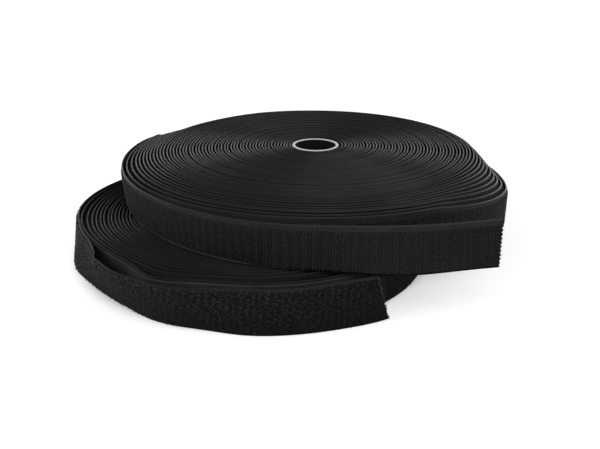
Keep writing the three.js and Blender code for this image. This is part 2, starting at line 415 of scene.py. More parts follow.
def hook_drop(inner, turned, x, y):
    """How far a hook turn has slipped, and sagged where the loop roll under it doesn't stop it."""
    tape = settings().tape
    hook = settings().hook
    below = loop_path()
    loop_x, loop_y, _ = axis_of("loop_core")
    kept_clear = 0.8 * tape.rise
    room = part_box("hook_core")[0].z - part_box("loop_core")[1].z - kept_clear
    middle_x = x + tape.whole / 2 * np.cos(turned)
    middle_y = y + tape.whole / 2 * np.sin(turned)
    away = np.hypot(middle_x - loop_x, middle_y - loop_y)
    past = (away - loop_reach(below) - END_GAP) / hook.full_overhang
    beside = np.maximum(0, away - loop_edge(below, middle_x, middle_y))
    loose = np.maximum(0, inner - hook.pack_radius)
    drop = (hook.slip + hook.sag * np.clip(past, 0, 1)) * loose
    for middle, spread, depth, deepest, reach_out in HOOK_DROPS:
        share = np.exp(-(((loose / MM - deepest) / reach_out) ** 2)) * ramp(loose, start=0, over=3 * MM)
        drop = drop + depth * MM * share * hump(turned, math.radians(middle), math.radians(spread))
    steepest = 3
    return np.minimum(drop, room + steepest * beside)


def loop_reach(path):
    """How far the loop roll and its free end reach from its axis, and half a thickness more."""
    axis_x, axis_y, _ = axis_of("loop_core")
    return np.hypot(path.x - axis_x, path.y - axis_y).max() + 1.5 * settings().tape.whole


def loop_edge(path, x, y):
    """How far the loop roll's last turn reaches from its axis towards each place, and a thickness more."""
    axis_x, axis_y, _ = axis_of("loop_core")
    last = (path.along <= 0) & (path.along > -LOOP_LAST_TURN)
    across = path.x[last] - axis_x
    deep = path.y[last] - axis_y
    towards = np.arctan2(y - axis_y, x - axis_x)
    far = np.interp(towards, np.arctan2(deep, across), np.hypot(across, deep), period=TURN)
    return far + 2 * settings().tape.whole


def wind(roll, core, opening, drop, creases, seed):
    """A winding from its core outwards, distance 0 at its end."""
    tape = settings().tape
    axis_x, axis_y, base = axis_of(core)
    total = roll.loose_turns + (roll.pack_radius - tape.start_radius) / tape.pitch
    count = int(total * tape.steps)
    turns_in = np.arange(count, -1, -1) / tape.steps
    turned = roll.end_angle - TURN * turns_in
    inner = roll.pack_radius + tape.pitch * (roll.loose_turns - turns_in) + opening(turns_in, turned)
    inner = inner + buckle(creases, -TURN * turns_in * inner)[0]
    stray = smooth_noise(seed, count + 1, int(total * NOISE_KNOTS)) * ramp(turns_in, start=0.2, over=1)
    inner = inner + tape.wander * stray
    x = axis_x + inner * np.cos(turned)
    y = axis_y + inner * np.sin(turned)
    along = np.concatenate([[0], np.cumsum(np.hypot(np.diff(x), np.diff(y)))])
    along = along - along[-1]
    rise = smooth_noise(seed + 1, count + 1, int(turns_in[0] * NOISE_KNOTS)) * np.clip(turns_in, 0, 1)
    bottom = base - drop(inner, turned, x, y) + tape.rise * (rise + 1) / 2
    return Path(x, y, turned, bottom, buckle(creases, along)[1], along)


def with_tail(winding, bottom, bend, tail_length, creases):
    """A winding and the free end that goes on from its end along an arc, as one path."""
    tape = settings().tape
    straight = tape.whole + END_GAP
    heading = winding.heading[-1]
    along = np.linspace(0, tail_length, int(tail_length / MM) + 1)
    inner_bend = bend - tape.whole / 2
    turned = heading + along / bend
    start_x = winding.x[-1] - math.sin(heading) * straight
    start_y = winding.y[-1] + math.cos(heading) * straight
    shift, lean = buckle(creases, along)
    radius = inner_bend + shift - shift[0]
    x = start_x + radius * np.cos(turned) - inner_bend * math.cos(heading)
    y = start_y + radius * np.sin(turned) - inner_bend * math.sin(heading)
    tail = Path(x, y, turned, np.full_like(along, bottom), lean, along + straight)
    return Path(*[np.concatenate(pair) for pair in zip(winding.values(), tail.values())])


def loop_path():
    """The whole loop tape, distance 0 at the end of its winding."""
    loop = settings().loop
    axis_x, axis_y, base = axis_of("loop_core")
    winding = wind(loop, "loop_core", loop_opening, loop_drop, LOOP_CREASES, seed=11)
    end_radius = math.hypot(winding.x[-1] - axis_x, winding.y[-1] - axis_y) + settings().tape.whole / 2
    return with_tail(winding, base, end_radius + loop.tail_ease, loop.tail_length, LOOP_CREASES)


def hook_path():
    """The whole hook tape, distance 0 at the end of its winding."""
    hook = settings().hook
    winding = wind(hook, "hook_core", hook_opening, hook_drop, HOOK_CREASES, seed=21)
    return with_tail(winding, winding.bottom[-1], hook.tail_bend, hook.tail_length, HOOK_CREASES)


def tail_start():
    """Distance along either tape at which the piece of its free end starts."""
    return settings().tape.whole + 0.05 * MM


# Meshes


def mesh_object(name, points, loops, starts, maps, kinds, tones=None):
    """A mesh object from points, face corners, first corner of each face, UV maps and material numbers."""
    mesh = bpy.data.meshes.new(name)
    mesh.vertices.add(len(points))
    mesh.vertices.foreach_set("co", np.asarray(points, np.float32).ravel())
    mesh.loops.add(len(loops))
    mesh.loops.foreach_set("vertex_index", np.asarray(loops, np.int32))
    mesh.polygons.add(len(starts))
    mesh.polygons.foreach_set("loop_start", np.asarray(starts, np.int32))
    mesh.polygons.foreach_set("material_index", np.asarray(kinds, np.int32))
    for map_name, places in maps.items():
        layer = mesh.uv_layers.new(name=map_name)
        layer.uv.foreach_set("vector", np.asarray(places, np.float32).ravel())
    if tones is not None:
        attribute = mesh.attributes.new("tone", "FLOAT", "POINT")
        attribute.data.foreach_set("value", np.asarray(tones, np.float32))
    mesh.update(calc_edges=True)
    mesh.validate()
    piece = bpy.data.objects.new(name, mesh)
    bpy.context.scene.collection.objects.link(piece)
    return piece


def smooth(piece, degrees):
    """Shades neighbouring faces as one where they meet at less than that angle."""
    bpy.ops.object.select_all(action="DESELECT")
    piece.select_set(True)
    bpy.context.view_layer.objects.active = piece
    bpy.ops.object.shade_smooth_by_angle(angle=math.radians(degrees))


def tape_outline(selvedge, rows):
    """Cross-section of a tape, as distances outwards and heights, and the number of each of its faces."""
    tape = settings().tape
    ease = tape.edge_ease
    backing = tape.backing
    slope = 0.5 * MM
    rim = 1.0 * MM
    widest_low_strip = 1.1 * MM
    least_high_strip = 1.3 * MM
    low_strip = min(selvedge, widest_low_strip)
    high_strip = tape.width - max(selvedge, least_high_strip)
    rolled_outside = 0.7 * MM
    rolled_inside = 0.3 * MM
    rolled_points = 7
    turn = np.linspace(0, math.pi, rolled_points)
    roll_out = backing / 2 * (1 + np.cos(turn))
    roll_down = np.where(turn < math.pi / 2, rolled_outside, rolled_inside) * (1 - np.sin(turn))
    out = [ease, backing - ease, backing, backing, backing]
    height = [0, 0, ease, rim, low_strip]
    out += [tape.body] * (rows + 1)
    height += list(np.linspace(low_strip + slope, high_strip - slope, rows + 1))
    face_end = len(out)
    out += [backing] + list(roll_out[:-1])
    height += [high_strip] + list(tape.width - roll_down[:-1])
    edge_end = len(out)
    out += [0] * (rows + 1)
    height += list(np.linspace(tape.width - rolled_inside, ease, rows + 1))
    kinds = np.full(len(out), BACKING)
    kinds[1:3] = LOW_RIM
    kinds[3:face_end] = FACE
    kinds[face_end] = SELVEDGE
    kinds[face_end + 1 : edge_end] = EDGE
    return np.array(out), np.array(height), kinds


def fullness(path, core):
    """How thick each section of a winding is: on covered turns the hooks or pile reach the next turn."""
    tape = settings().tape
    gap = 0.12 * MM
    fullest = 2.6 * MM
    axis_x, axis_y, _ = axis_of(core)
    radius = np.hypot(path.x - axis_x, path.y - axis_y)
    room = np.full_like(radius, tape.body)
    room[: -tape.steps] = radius[tape.steps :] - radius[: -tape.steps] - gap
    covered = np.arange(len(radius)) < len(radius) - UNCOVERED_TURNS * tape.steps
    return np.where(covered, np.clip(room, tape.body, fullest), tape.body)


def band(name, path, selvedge, rows, cut=None, changes=(), full=None):
    """A closed band of tape along a path. cut moves the last sections along the tape, by height.

    Each change gives the faces of one number another one, from a first distance along the tape to a last one.
    full gives the thickness of each section, where it isn't the same all along.
    """
    tape = settings().tape
    out, height, kinds = tape_outline(selvedge, rows)
    sides = len(out)
    count = len(path.along)
    along = np.repeat(path.along[:, None], sides, 1)
    if cut is not None:
        cut_fade = 20 * MM
        share = np.clip(1 - (path.along[-1] - path.along) / cut_fade, 0, 1)
        along = along + share[:, None] * cut(height)[None, :]
    heights = np.repeat(height[None, :], count, 0)
    outs = np.repeat(out[None, :], count, 0)
    if full is not None:
        outs = np.where(outs == tape.body, full[:, None], outs)
    reach = outs + (heights / tape.width - 0.5) * path.lean[:, None]
    extra = along - path.along[:, None]
    cos = np.cos(path.heading)[:, None]
    sin = np.sin(path.heading)[:, None]
    x = path.x[:, None] + cos * reach - sin * extra
    y = path.y[:, None] + sin * reach + cos * extra
    z = path.bottom[:, None] + heights
    points = np.stack([x, y, z], -1).reshape(-1, 3)

    at = np.arange(count - 1)[:, None] * sides
    side = np.arange(sides)[None, :]
    after = (side + 1) % sides
    quads = np.stack([at + side, at + sides + side, at + sides + after, at + after], -1).reshape(-1, 4)
    start_cap = np.arange(sides)
    end_cap = (count - 1) * sides + np.arange(sides)[::-1]
    loops = np.concatenate([quads.ravel(), start_cap, end_cap])
    starts = np.concatenate([np.arange(len(quads)) * 4, [len(quads) * 4, len(quads) * 4 + sides]])
    face_kinds = np.tile(kinds, (count - 1, 1))
    for first, last, old, new in changes:
        changed = (path.along[:-1] >= first) & (path.along[:-1] < last)
        face_kinds[changed] = np.where(face_kinds[changed] == old, new, face_kinds[changed])
    face_kinds = np.concatenate([face_kinds.ravel(), [BACKING, BACKING]])

    weave = np.stack([along.reshape(-1)[loops], heights.reshape(-1)[loops]], -1)
    maps = {"tape": weave, "OFBake": bake_map(count, out, height)}
    piece = mesh_object(name, points, loops, starts, maps, face_kinds)
    smooth(piece, TAPE_SMOOTH)
    return piece


def bake_map(count, out, height):
    """A flat map of a band: one row for each turn's worth of steps, with its faces side by side."""
    steps = settings().tape.steps
    sides = len(out)
    margin = 0.02
    narrowest = 0.6 * MM
    rows = max(1, math.ceil((count - 1) / steps))
    step = np.repeat(np.arange(count - 1), sides)
    side = np.tile(np.arange(sides), count - 1)
    lengths = np.hypot(np.roll(out, -1) - out, np.roll(height, -1) - height)
    edges = np.concatenate([[0], np.cumsum(np.maximum(lengths, narrowest))])
    edges = margin + (1 - 2 * margin) * edges / edges[-1]
    left = (step % steps) / steps
    right = left + 1 / steps
    row = step // steps
    low = (row + edges[side]) / rows
    high = (row + edges[side + 1]) / rows
    corners = np.stack([left, low, right, low, right, high, left, high], -1).reshape(-1, 2)
    cap_place = 0.001
    caps = np.full((2 * sides, 2), cap_place)
    return np.concatenate([corners, caps])


def strand(name, radius, steps):
    """One short fibre, extruded step by step from a small ring. Returns its points and faces."""
    bpy.ops.object.select_all(action="DESELECT")
    bpy.ops.mesh.primitive_circle_add(vertices=3, radius=radius, fill_type="NGON")
    fibre = bpy.context.object
    fibre.name = name
    bpy.ops.object.mode_set(mode="EDIT")
    bpy.ops.mesh.select_all(action="SELECT")
    place = Vector((0, 0, 0))
    for along, out, turn, size in steps:
        move = (along * MM, 0, out * MM)
        bpy.ops.mesh.extrude_region_move(TRANSFORM_OT_translate={"value": move})
        place = place + Vector(move)
        bpy.ops.transform.rotate(
            value=-math.radians(turn), orient_axis="Y", orient_type="GLOBAL", center_override=place
        )
        bpy.ops.transform.resize(value=(size, size, size), center_override=place)
    bpy.ops.mesh.select_all(action="SELECT")
    bpy.ops.mesh.normals_make_consistent(inside=False)
    bpy.ops.object.mode_set(mode="OBJECT")
    points = np.array([v.co[:] for v in fibre.data.vertices])
    faces = [list(p.vertices) for p in fibre.data.polygons]
    bpy.data.objects.remove(fibre)
    return points, faces


def corner_places(count):
    """Corners of one face in the bake map's small square."""
    low = 0.05
    high = 0.95
    radius = 0.45
    if count == 4:
        return [(low, low), (high, low), (high, high), (low, high)]
    turns = [TURN * corner / count for corner in range(count)]
    return [(0.5 + radius * math.cos(turn), 0.5 + radius * math.sin(turn)) for turn in turns]


def strands(name, shape, origins, axes, scales, tones):
    """Copies of one fibre in one mesh, each at its origin, along its three axes and at its own size."""
    points, faces = shape
    count = len(origins)
    scaled = points[None, :, :] * scales[:, None, :]
    placed = origins[:, None, :] + np.einsum("nvk,nkc->nvc", scaled, axes)
    flat = np.concatenate([np.array(f) for f in faces])
    totals = np.array([len(f) for f in faces])
    loops = (np.arange(count)[:, None] * len(points) + flat[None, :]).ravel()
    firsts = np.concatenate([[0], np.cumsum(totals)[:-1]])
    starts = (np.arange(count)[:, None] * len(flat) + firsts[None, :]).ravel()

    margin = 0.05
    cells = math.ceil(math.sqrt(count))
    inner = math.ceil(math.sqrt(len(faces)))
    corners = []
    for at, total in enumerate(totals):
        for u, v in corner_places(total):
            corners.append(((at % inner + u) / inner, (at // inner + v) / inner))
    cell = np.stack([np.arange(count) % cells, np.arange(count) // cells], -1)
    bake = (cell[:, None, :] + margin + (1 - 2 * margin) * np.array(corners)[None, :, :]) / cells
    maps = {"OFBake": bake.reshape(-1, 2)}
    kinds = np.zeros(len(starts), int)
    tone = np.repeat(tones, len(points))
    return mesh_object(name, placed.reshape(-1, 3), loops, starts, maps, kinds, tone)


def turned_axes(forward, up, out, spin):
    """Axes for copies: x along the tape turned by spin about the outward direction, z outwards."""
    cos = np.cos(spin)[:, None]
    sin = np.sin(spin)[:, None]
    return np.stack([forward * cos + up * sin, up * cos - forward * sin, out], 1)


# Materials


class Nodes:
    """Nodes of a material or world. An input takes a value, or another node's output that is linked to it."""

    def __init__(self, owner):
        owner.use_nodes = True
        self.owner = owner
        self.tree = owner.node_tree

    def add(self, kind, output, inputs=None, **attributes):
        """A new node with its attributes and inputs. Returns one of its outputs."""
        made = self.tree.nodes.new("ShaderNode" + kind)
        for name, value in attributes.items():
            setattr(made, name, value)
        self.fill(made, inputs or {})
        return made.outputs[output]

    def fill(self, made, inputs):
        for name, value in inputs.items():
            if isinstance(value, bpy.types.NodeSocket):
                self.tree.links.new(value, made.inputs[name])
            else:
                made.inputs[name].default_value = value

    def two_tones(self, base, low, high, share):
        """A mix of two shades of one colour."""
        return self.add("MixRGB", 0, {0: share, 1: shade(base, low), 2: shade(base, high)})

    def relief(self, height, strength, distance, invert=False):
        """Normals of a surface with fine relief."""
        inputs = {"Height": height, "Strength": strength, "Distance": distance}
        return self.add("Bump", "Normal", inputs, invert=invert)

    def material(self, inputs):
        """The material, with its surface filled."""
        self.fill(self.tree.nodes["Principled BSDF"], inputs)
        return self.owner


def material_nodes(name):
    return Nodes(bpy.data.materials.new(name))


def shade(base, share):
    return tuple(c * share for c in base) + (1,)


def weave_material(name, base, roughness, gloss, combed=0.0, rib=0.55 * MM, depth=0.45):
    """Woven nylon: threads along the tape and ribs across it. combed threads shine along the tape."""
    thread = 0.42 * MM
    one_wave = 0.314
    nodes = material_nodes(name)
    places = nodes.add("UVMap", "UV", uv_map="tape")
    wave = {"Vector": places, "Distortion": 0.4}
    warp = nodes.add("TexWave", "Fac", {**wave, "Scale": one_wave / thread}, bands_direction="Y")
    weft = nodes.add("TexWave", "Fac", {**wave, "Scale": one_wave / rib}, bands_direction="X")
    cross = nodes.add("Math", 0, {0: warp, 1: weft}, operation="MULTIPLY")
    patches = nodes.add("TexNoise", "Fac", {"Vector": places, "Scale": 60, "Detail": 3})
    tone = nodes.two_tones(base, 0.6, 1.4, patches)
    uneven = {"Value": cross, "To Min": roughness + 0.08, "To Max": roughness - 0.08}
    surface = {
        "Base Color": nodes.add("MixRGB", 0, {0: depth, 1: tone, 2: cross}, blend_type="MULTIPLY"),
        "Roughness": nodes.add("MapRange", "Result", uneven),
        "Normal": nodes.relief(cross, strength=0.35, distance=0.12 * MM),
        "Tangent": nodes.add("Tangent", "Tangent", direction_type="UV_MAP", uv_map="tape"),
        "Specular IOR Level": gloss,
        "Anisotropic": combed,
        "Anisotropic Rotation": 0.25,
    }
    return nodes.material(surface)


def ground_material(name, base, along, across, blur):
    """Working face of the tape below its hooks or pile: a field of small mounds."""
    nodes = material_nodes(name)
    places = nodes.add("UVMap", "UV", uv_map="tape")
    fit = nodes.add("Mapping", "Vector", {"Vector": places, "Scale": (1 / along, 1 / across, 1)})
    field = {"Vector": fit, "Scale": 1, "Randomness": blur}
    mounds = nodes.add("TexVoronoi", "Distance", field, voronoi_dimensions="2D")
    surface = {
        # The tone follows the mounds: painted shade darkens the hollows between them
        "Base Color": nodes.two_tones(base, 1.8, 0.35, mounds),
        "Roughness": 0.85,
        "Normal": nodes.relief(mounds, strength=0.8, distance=0.4 * MM, invert=True),
        "Specular IOR Level": 0.06,
    }
    return nodes.material(surface)


def fibre_material(name, base, spread, roughness, gloss):
    """Fibres whose tone changes from one to the next."""
    nodes = material_nodes(name)
    own = nodes.add("Attribute", "Fac", attribute_name="tone")
    tone = nodes.two_tones(base, 1 - spread, 1 + spread, own)
    return nodes.material({"Base Color": tone, "Roughness": roughness, "Specular IOR Level": gloss})


def core_material(name, base, roughness, gloss):
    """Core stock with fine grain."""
    nodes = material_nodes(name)
    places = nodes.add("TexCoord", "Object")
    grain = nodes.add("TexNoise", "Fac", {"Vector": places, "Scale": 900, "Detail": 4})
    surface = {
        "Base Color": nodes.two_tones(base, 0.8, 1.15, grain),
        "Roughness": roughness,
        "Normal": nodes.relief(grain, strength=0.2, distance=0.1 * MM),
        "Specular IOR Level": gloss,
    }
    return nodes.material(surface)


# Finishes by name: how each is made, the setting that holds its colour, and its other values
FINISHES = {
    "woven_backing": (weave_material, "backing", dict(roughness=0.7, gloss=0.2)),
    "woven_selvedge": (
        weave_material,
        "selvedge",
        dict(roughness=0.75, gloss=0.15, rib=1.25 * MM, depth=0.7),
    ),
    # Painted highlight on the lower rim of the hook winding
    "worn_rim": (weave_material, "worn", dict(roughness=0.7, gloss=0.2)),
    "hook_edge": (weave_material, "hook_edge", dict(roughness=0.55, gloss=0.5, combed=0.9)),
    "loop_edge": (weave_material, "loop_edge", dict(roughness=0.65, gloss=0.3, combed=0.9)),
    "pressed_pile": (weave_material, "pressed", dict(roughness=0.8, gloss=0.1)),
    # Painted shade along the lower rim of the free ends
    "low_rim": (weave_material, "low_rim", dict(roughness=0.8, gloss=0.05)),
    "hook_ground": (ground_material, "hook_ground", dict(along=HOOK_SPACING, across=1.1 * MM, blur=0.25)),
    "pile_ground": (ground_material, "pile_ground", dict(along=1.1 * MM, across=1.1 * MM, blur=1.0)),
    "hook_nylon": (fibre_material, "hook", dict(spread=0.25, roughness=0.55, gloss=0.25)),
    "loop_pile": (fibre_material, "pile", dict(spread=0.68, roughness=0.9, gloss=0.03)),
    "cut_hook_fibres": (fibre_material, "hook_ground", dict(spread=0.5, roughness=0.8, gloss=0.05)),
    "cut_fibres": (fibre_material, "fray", dict(spread=0.5, roughness=0.6, gloss=0.2)),
    "core_wall": (core_material, "core_wall", dict(roughness=0.85, gloss=0.1)),
    "core_rim": (core_material, "core_rim", dict(roughness=0.5, gloss=0.4)),
}


def finish(name):
    """A finish, made once."""
    make, colour_name, values = FINISHES[name]
    made = bpy.data.materials.get(name)
    return made or make(name, getattr(settings().finish, colour_name), **values)


def hook_tape_finishes(low_rim):
    """Finishes of the hook tape, in the order of the face numbers."""
    return "woven_backing", "hook_ground", "hook_edge", "woven_selvedge", low_rim


def loop_tape_finishes(low_rim):
    """Finishes of the loop tape, in the order of the face numbers."""
    return "woven_backing", "pile_ground", "loop_edge", "loop_edge", low_rim, "pressed_pile"


# Pieces


def dress(piece, material_slot, *finishes):
    """Finishes of a piece, in order. The slot is not used."""
    for name in finishes:
        piece.data.materials.append(finish(name))


def bend_piece(piece, path, bend_length):
    """Applies the placement of a piece of a free end to its points."""
    middle = np.array(settings().tape.width / 2)
    start = path.at(np.array(tail_start()), middle, np.array(0.0))
    end = path.at(np.array(bend_length), middle, np.array(0.0))
    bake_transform(piece)


def pressed_stretch():
    """Where the pile of the outermost turn is pressed flat behind the free end, from and to."""
    start = -PILE_TURNS * LOOP_LAST_TURN
    unpressed = 14 * MM
    return np.array([start, start + settings().loop.tail_length - unpressed])


def tufts(along, height):
    """How full the brushed pile is at each place, from 0 to 1, in uneven tufts a few millimetres wide."""
    seed = 7
    waves = 9
    narrowest = 1.7
    widest = 4.6
    evenness = 6
    random = np.random.default_rng(seed)
    full = np.zeros_like(along)
    for _ in range(waves):
        wide = random.uniform(narrowest, widest) * MM
        turn = random.uniform(0, math.pi)
        start = random.uniform(0, TURN)
        across = along * math.cos(turn) + height * math.sin(turn)
        full = full + np.sin(TURN * across / wide + start)
    return np.clip(0.5 + full / evenness, 0, 1)


def hook_cut(height):
    """A sharp cut, a little slanted, with fine teeth between the woven threads."""
    teeth = 0.35 * MM
    tooth = 2.1 * MM
    slant = 1.6 * MM * (0.5 - height / settings().tape.width)
    return -teeth - slant + teeth * np.sin(TURN * height / tooth)


def loop_cut(height):
    """A slanted and slightly wavy cut, longer at the lower edge."""
    longest = 0.9 * MM
    slant = 6.5 * MM
    ripple = 0.9 * MM
    wave = 0.3 * MM * np.sin(height / ripple)
    return longest - slant * height / settings().tape.width + wave


class TAPE_ROLLS_OT_stage(bpy.types.Operator):
    """Camera, soft lights, pale floor and world"""

    bl_idname = "tape_rolls.stage"
    bl_label = "Stage"

    def execute(self, context):
        scene = context.scene
        scene.view_settings.view_transform = "Standard"
        lens = bpy.data.cameras.new("photo_camera")
        lens.sensor_width = CAMERA_SENSOR
        lens.lens = CAMERA_LENS
        lens.clip_start = CAMERA_NEAR
        camera = bpy.data.objects.new("photo_camera", lens)
        camera.location = np.array(axis_of("hook_core")) + CAMERA_PLACE
        camera.rotation_euler = (math.radians(CAMERA_TILT), 0, 0)
        scene.collection.objects.link(camera)
        scene.camera = camera
        for softbox in SOFTBOXES:
            self.softbox(scene, *softbox)
        self.floor()
        self.backdrop()
        self.world(scene)
        return {"FINISHED"}

    def softbox(self, scene, name, place, side, power, reflected):
        lamp = bpy.data.lights.new(name, "AREA")
        lamp.shape = "SQUARE"
        lamp.size = side
        lamp.energy = power
        holder = bpy.data.objects.new(name, lamp)
        holder.location = place
        holder.visible_glossy = reflected
        aim = Vector(SOFTBOX_AIM) - Vector(place)
        holder.rotation_euler = aim.to_track_quat("-Z", "Y").to_euler()
        scene.collection.objects.link(holder)

    def floor(self):
        just_below = (0, 0, -0.0002)
        bpy.ops.object.select_all(action="DESELECT")
        bpy.ops.mesh.primitive_circle_add(vertices=96, radius=4, fill_type="NGON", location=just_below)
        floor = bpy.context.object
        floor.name = "floor"
        bpy.ops.object.transform_apply(location=True, rotation=True, scale=True)
        floor.data.materials.append(self.white_finish("pale_floor", near_glow=0.55, far_glow=1.0))

    def backdrop(self):
        bpy.ops.object.select_all(action="DESELECT")
        bpy.ops.mesh.primitive_plane_add(size=1, location=(0, 1.6, 0.55))
        wall = bpy.context.object
        wall.name = "backdrop"
        wall.scale = (5, 1.1, 1)
        wall.rotation_euler = (math.radians(90), 0, 0)
        bpy.ops.object.transform_apply(location=True, rotation=True, scale=True)
        wall.data.materials.append(self.white_finish("pale_backdrop", near_glow=1.0, far_glow=1.0))

    def white_finish(self, name, near_glow, far_glow):
        """Pale paper that glows white where it is seen, reflected or seen through, and lights nothing more.

        It glows by its own values near the rolls and far from them, and not at all under the loop roll.
        """
        nodes = material_nodes(name)
        places = nodes.add("TexCoord", "Object")
        away = nodes.add("VectorMath", "Value", {0: places}, operation="LENGTH")
        fades = {"Value": away, "From Min": 0.25, "From Max": 0.9, "To Min": near_glow, "To Max": far_glow}
        rise = nodes.add("MapRange", "Result", fades, interpolation_type="SMOOTHSTEP")
        axis_x, axis_y, _ = axis_of("loop_core")
        beside = nodes.add("VectorMath", "Value", {0: places, 1: (axis_x, axis_y, 0)}, operation="DISTANCE")
        roll_edge = {"Value": beside, "From Min": 0.100, "From Max": 0.116}
        uncovered = nodes.add("MapRange", "Result", roll_edge, interpolation_type="SMOOTHSTEP")
        shown = nodes.add("Math", 0, {0: rise, 1: uncovered}, operation="MULTIPLY")
        camera_ray = nodes.add("LightPath", "Is Camera Ray")
        rays = camera_ray.node.outputs
        seen = nodes.add("Math", 0, {0: camera_ray, 1: rays["Is Glossy Ray"]}, operation="MAXIMUM")
        through = nodes.add("Math", 0, {0: seen, 1: rays["Is Transmission Ray"]}, operation="MAXIMUM")
        surface = {
            "Base Color": shade(settings().finish.floor, 1),
            "Roughness": 0.9,
            "Specular IOR Level": 0.1,
            "Emission Color": (1, 1, 1, 1),
            "Emission Strength": nodes.add("Math", 0, {0: through, 1: shown}, operation="MULTIPLY"),
        }
        return nodes.material(surface)

    def world(self, scene):
        """White all round, and weaker as a light than as a background."""
        scene.world = bpy.data.worlds.new("studio")
        nodes = Nodes(scene.world)
        camera_ray = nodes.add("LightPath", "Is Camera Ray")
        strength = nodes.add("MapRange", "Result", {"Value": camera_ray, "To Min": 0.3, "To Max": 1})
        nodes.fill(nodes.tree.nodes["Background"], {"Color": (1, 1, 1, 1), "Strength": strength})


class TAPE_ROLLS_OT_cores(bpy.types.Operator):
    """Two tubes with pale rims, one in each roll"""

    bl_idname = "tape_rolls.cores"
    bl_label = "Cores"

    def execute(self, context):
        for cad_node, body in (("loop_core", "loop_roll"), ("hook_core", "hook_roll")):
            core = self.tube(cad_node)
            dress(core, "core", "core_wall", "core_rim")
            self.paint_rims(core)
            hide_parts(cad_node)
            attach(core, body)
        return {"FINISHED"}

    def tube(self, cad_node):
        wall = 2 * MM
        nearly_level = 0.9
        low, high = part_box(cad_node)
        outside = (high.x - low.x) / 2
        centre = (low + high) / 2
        bpy.ops.object.select_all(action="DESELECT")
        bpy.ops.mesh.primitive_cylinder_add(
            vertices=128, radius=outside, depth=high.z - low.z, end_fill_type="NGON", location=centre
        )
        core = bpy.context.object
        core.name = cad_node + "_tube"
        bpy.ops.object.transform_apply(location=True, rotation=True, scale=True)
        bpy.ops.object.mode_set(mode="EDIT")
        bpy.ops.mesh.select_mode(type="FACE")
        bpy.ops.mesh.select_all(action="DESELECT")
        bpy.ops.object.mode_set(mode="OBJECT")
        for face in core.data.polygons:
            face.select = abs(face.normal.z) > nearly_level
        bpy.ops.object.mode_set(mode="EDIT")
        bpy.ops.mesh.inset(thickness=wall)
        bpy.ops.mesh.bridge_edge_loops()
        bpy.ops.mesh.select_all(action="SELECT")
        bpy.ops.mesh.remove_doubles(threshold=1e-6)
        bpy.ops.mesh.normals_make_consistent(inside=False)
        bpy.ops.object.mode_set(mode="OBJECT")
        ease = core.modifiers.new("eased_rims", "BEVEL")
        ease.width = 0.35 * MM
        ease.segments = 3
        ease.limit_method = "ANGLE"
        ease.angle_limit = math.radians(50)
        bpy.ops.object.modifier_apply(modifier=ease.name)
        smooth(core, CORE_SMOOTH)
        return core

    def paint_rims(self, core):
        """Gives the faces near both ends the second finish."""
        rim = 0.45 * MM
        heights = np.array([v.co.z for v in core.data.vertices])
        for face in core.data.polygons:
            level = face.center.z
            end = min(level - heights.min(), heights.max() - level)
            face.material_index = 1 if end < rim else 0


class TAPE_ROLLS_OT_hook_winding(bpy.types.Operator):
    """Hook tape wound on its core, turn by turn"""

    bl_idname = "tape_rolls.hook_winding"
    bl_label = "Hook winding"

    def execute(self, context):
        path = hook_path().winding()
        # The lower rim of the winding carries a painted highlight, which fades out over the last stretch
        # before the free end
        highlight_fades = -32 * MM
        highlight_ends = -14 * MM
        # Selvedges between the turns take the dark hook-ground finish as painted shade
        changes = [(first, last, SELVEDGE, FACE) for first, last in self.covered(path)]
        changes += [(highlight_fades, highlight_ends, LOW_RIM, SELVEDGE), (highlight_ends, path.along[-1], LOW_RIM, FACE)]
        full = fullness(path, "hook_core")
        selvedge = settings().tape.hook_selvedge
        piece = band("hook_tape_turns", path, selvedge, rows=1, changes=changes, full=full)
        dress(piece, "hook_tape", *hook_tape_finishes("worn_rim"))
        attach(piece, "hook_roll")
        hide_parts("hook_winding")
        path.flat_size()
        return {"FINISHED"}

    def covered(self, path):
        """Covered selvedge, painted in shade. Loose turns that have dropped show theirs at the right."""
        turns_shown = 8
        first_angle = -60
        last_angle = 25
        turn_step = 2
        ends = [path.along[0]]
        for turn in range(turns_shown, 1, -1):
            angles = [first_angle - turn_step * turn, last_angle - turn_step * turn]
            shown = np.radians(angles) - TURN * turn
            ends += list(np.interp(shown, path.heading, path.along))
        ends.append(-UNCOVERED_TURNS * HOOK_LAST_TURN)
        return zip(ends[::2], ends[1::2])


class TAPE_ROLLS_OT_hook_tail(bpy.types.Operator):
    """Free end of the hook tape"""

    bl_idname = "tape_rolls.hook_tail"
    bl_label = "Hook free end"

    def execute(self, context):
        whole = hook_path()
        path = whole.part(tail_start(), whole.along[-1], 1 * MM)
        piece = band("hook_tape_end", path, settings().tape.hook_selvedge, rows=40, cut=hook_cut)
        # The free end's lower rim takes painted shade
        dress(piece, "hook_tape", *hook_tape_finishes("low_rim"))
        bend_piece(piece, whole, HOOK_BEND)
        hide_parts("hook_tail")
        path.flat_size()
        return {"FINISHED"}


